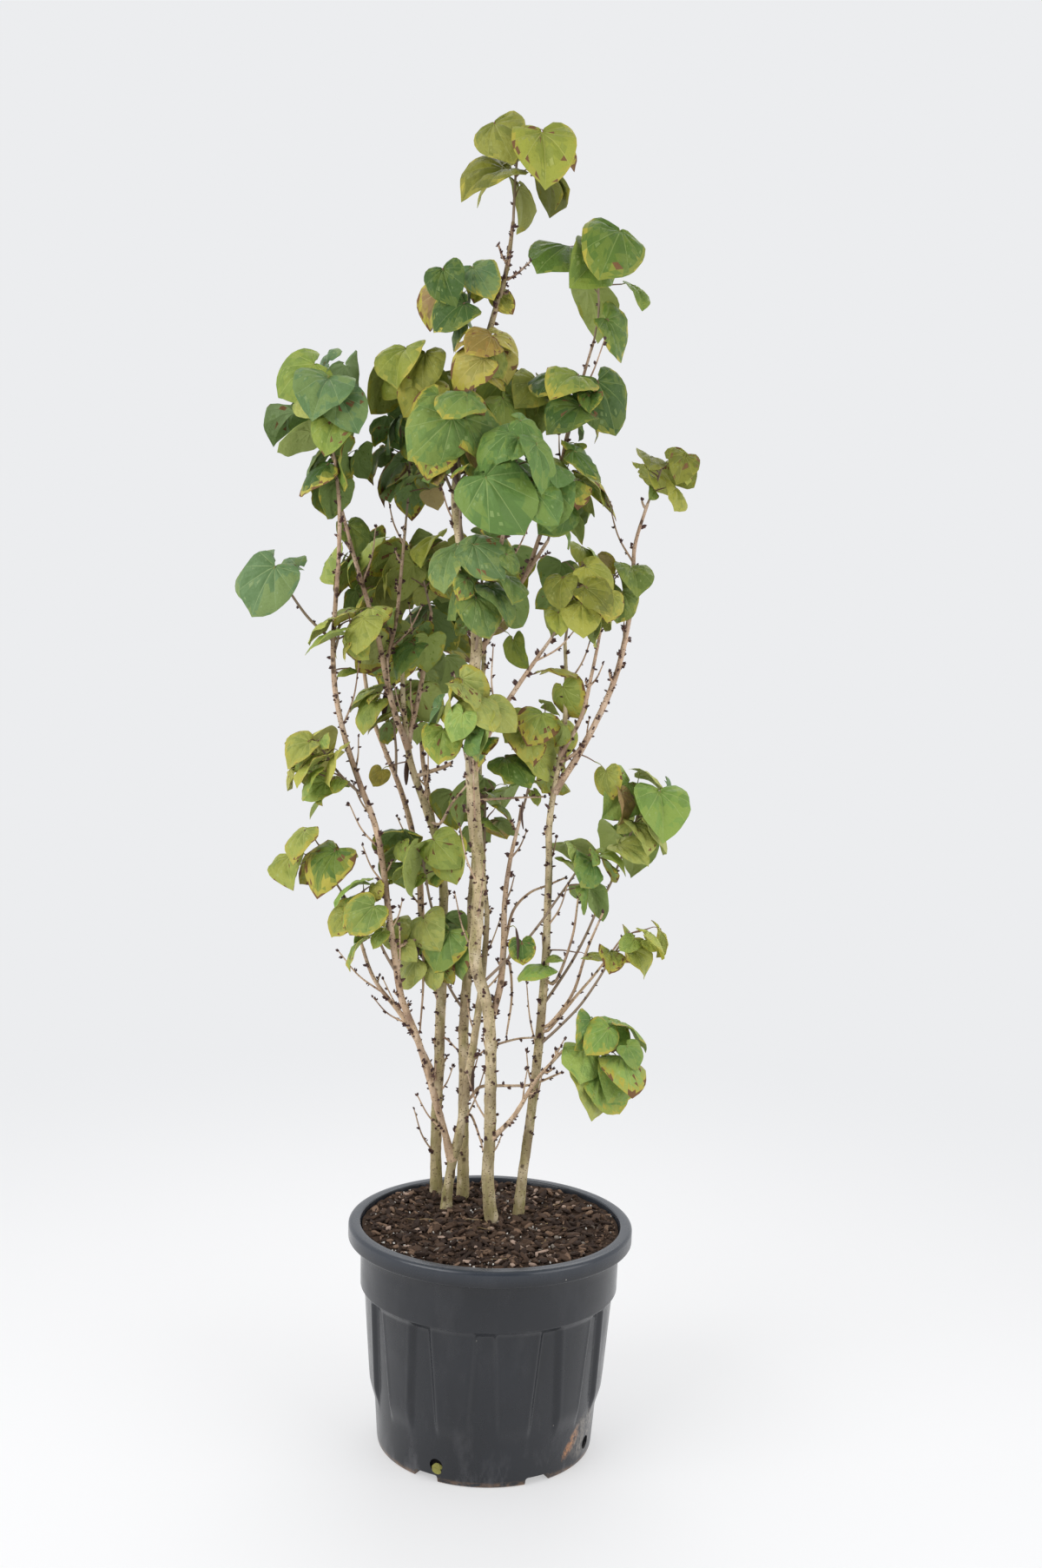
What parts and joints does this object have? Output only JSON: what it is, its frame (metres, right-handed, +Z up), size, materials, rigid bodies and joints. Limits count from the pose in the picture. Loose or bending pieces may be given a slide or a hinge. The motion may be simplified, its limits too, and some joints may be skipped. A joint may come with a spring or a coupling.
{
  "type": "potted redbud shrub",
  "caption": "Young redbud grown as a tall open shrub with several upright stems and heart-shaped autumn-tinted leaves, standing in a filled black nursery pot.",
  "frame": {"origin": "middle of the pot's flat underside", "axes": "+Z up along the pot's axis, -Y towards the front, +X to the right seen from the front"},
  "size_m": [0.6746, 0.5294, 1.9497],
  "materials": {
    "pot": "satin black injection-moulded plastic, slightly scuffed",
    "soil": "rough bark mulch over potting mix",
    "stems": "pale grey-beige bark, greenish near the soil",
    "boughs": "pale tan bark with dark lenticels",
    "leaves_blue": "blue-green leaves, satin above and paler below",
    "leaves_bright": "bright green leaves, satin above and paler below",
    "leaves_deep": "deep green leaves, satin above and paler below",
    "leaves_gold": "golden yellow leaves, satin above and paler below",
    "leaves_lime": "yellow-green leaves, satin above and paler below",
    "leaves_mid": "mid green leaves, satin above and paler below",
    "leaves_olive": "olive green leaves, satin above and paler below"
  },
  "bodies": {
    "root": {"pot": "pot", "soil": "soil", "stem_front_left": "stems", "stem_left": "stems", "stem_back": "stems", "stem_centre": "stems", "stem_right": "stems", "bough_left_outer": "boughs", "bough_left_mid": "boughs", "bough_left_low": "boughs", "bough_crown_left": "boughs", "bough_crown_mid": "boughs", "bough_crown_low": "boughs", "bough_crown_front": "boughs", "bough_crown_right": "boughs", "bough_right_lean": "boughs", "bough_centre_right": "boughs", "bough_top_right": "boughs", "bough_right_shoot": "boughs", "bough_low_right": "boughs", "bough_back_left": "boughs", "bough_right_top": "boughs", "leaves_top": "leaves_olive", "leaves_upper_left": "leaves_deep", "leaves_golden": "leaves_gold", "leaves_right_top": "leaves_mid", "leaves_right_top_low": "leaves_deep", "leaves_left_top": "leaves_bright", "leaves_crown_top_left": "leaves_olive", "leaves_crown_top_right": "leaves_lime", "leaves_crown_left": "leaves_deep", "leaves_crown_mid": "leaves_blue", "leaves_crown_centre": "leaves_mid", "leaves_crown_front": "leaves_bright", "leaves_crown_right": "leaves_mid", "leaves_crown_low": "leaves_olive", "leaves_crown_low_right": "leaves_blue", "leaves_crown_back": "leaves_bright", "leaves_back_mid": "leaves_mid", "leaves_back_left": "leaves_deep", "leaves_left_back": "leaves_mid", "leaves_left_low": "leaves_lime", "leaves_far_left": "leaves_deep", "leaves_band_left": "leaves_lime", "leaves_band_left_mid": "leaves_mid", "leaves_band_centre": "leaves_bright", "leaves_band_right": "leaves_mid", "leaves_right_front": "leaves_olive", "leaves_right_upper": "leaves_olive", "leaves_right_back": "leaves_mid", "leaves_top_right": "leaves_olive", "leaves_mid_back": "leaves_deep", "leaves_left_mid": "leaves_mid", "leaves_left_mid_low": "leaves_lime", "leaves_left_outer": "leaves_mid", "leaves_mid_low": "leaves_bright", "leaves_right_mid": "leaves_bright", "leaves_right_mid_low": "leaves_bright", "leaves_right_pair": "leaves_lime", "leaves_low_right": "leaves_bright"}
  },
  "joints": []
}
